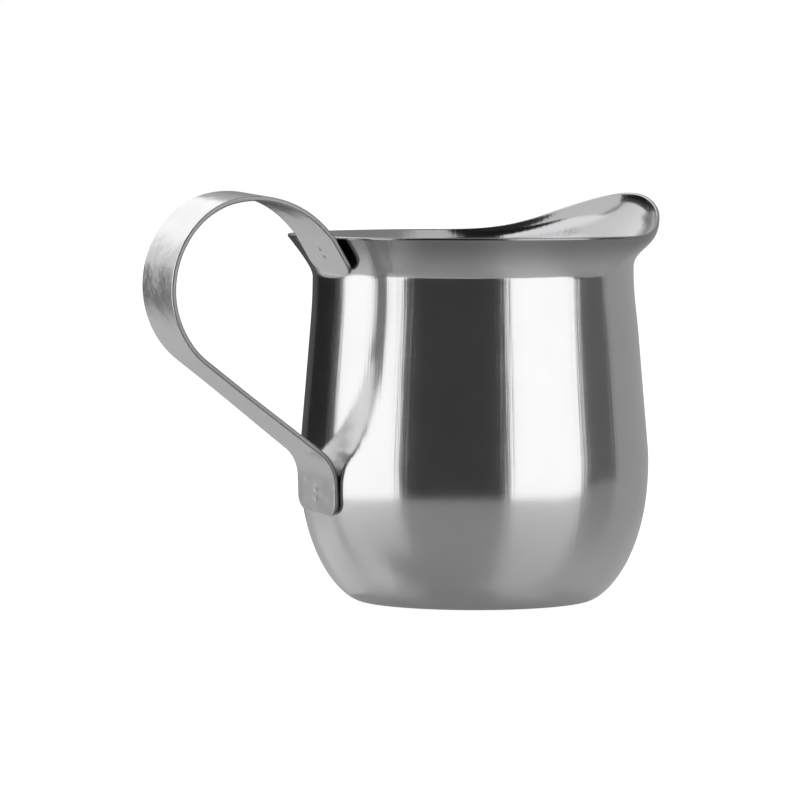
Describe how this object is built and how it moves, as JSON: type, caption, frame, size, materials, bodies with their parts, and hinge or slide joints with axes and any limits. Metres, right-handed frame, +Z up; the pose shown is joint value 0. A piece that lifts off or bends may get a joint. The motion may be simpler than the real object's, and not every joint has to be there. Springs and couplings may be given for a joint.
{
  "type": "cream jug",
  "caption": "Small bell-shaped metal cream jug: round-bellied drawn bowl with a flared lip, a raised pouring spout and a looped flat strap handle welded on the back.",
  "frame": {"origin": "centre of the flat base, on the axis of the bowl", "axes": "+Z up along the axis of the bowl, +X towards the spout, -X towards the handle"},
  "size_m": [0.0974, 0.0646, 0.0709],
  "materials": {
    "bowl_steel": "polished stainless steel with a fine satin grain",
    "strap_steel": "polished stainless steel strap, edges tumbled smooth",
    "weld_metal": "fused steel of the spot welds"
  },
  "bodies": {
    "root": {"jug_body": "bowl_steel", "handle_strap": "strap_steel", "lower_weld_top": "weld_metal", "lower_weld_bottom": "weld_metal", "upper_weld_top": "weld_metal", "upper_weld_bottom": "weld_metal"}
  },
  "joints": []
}
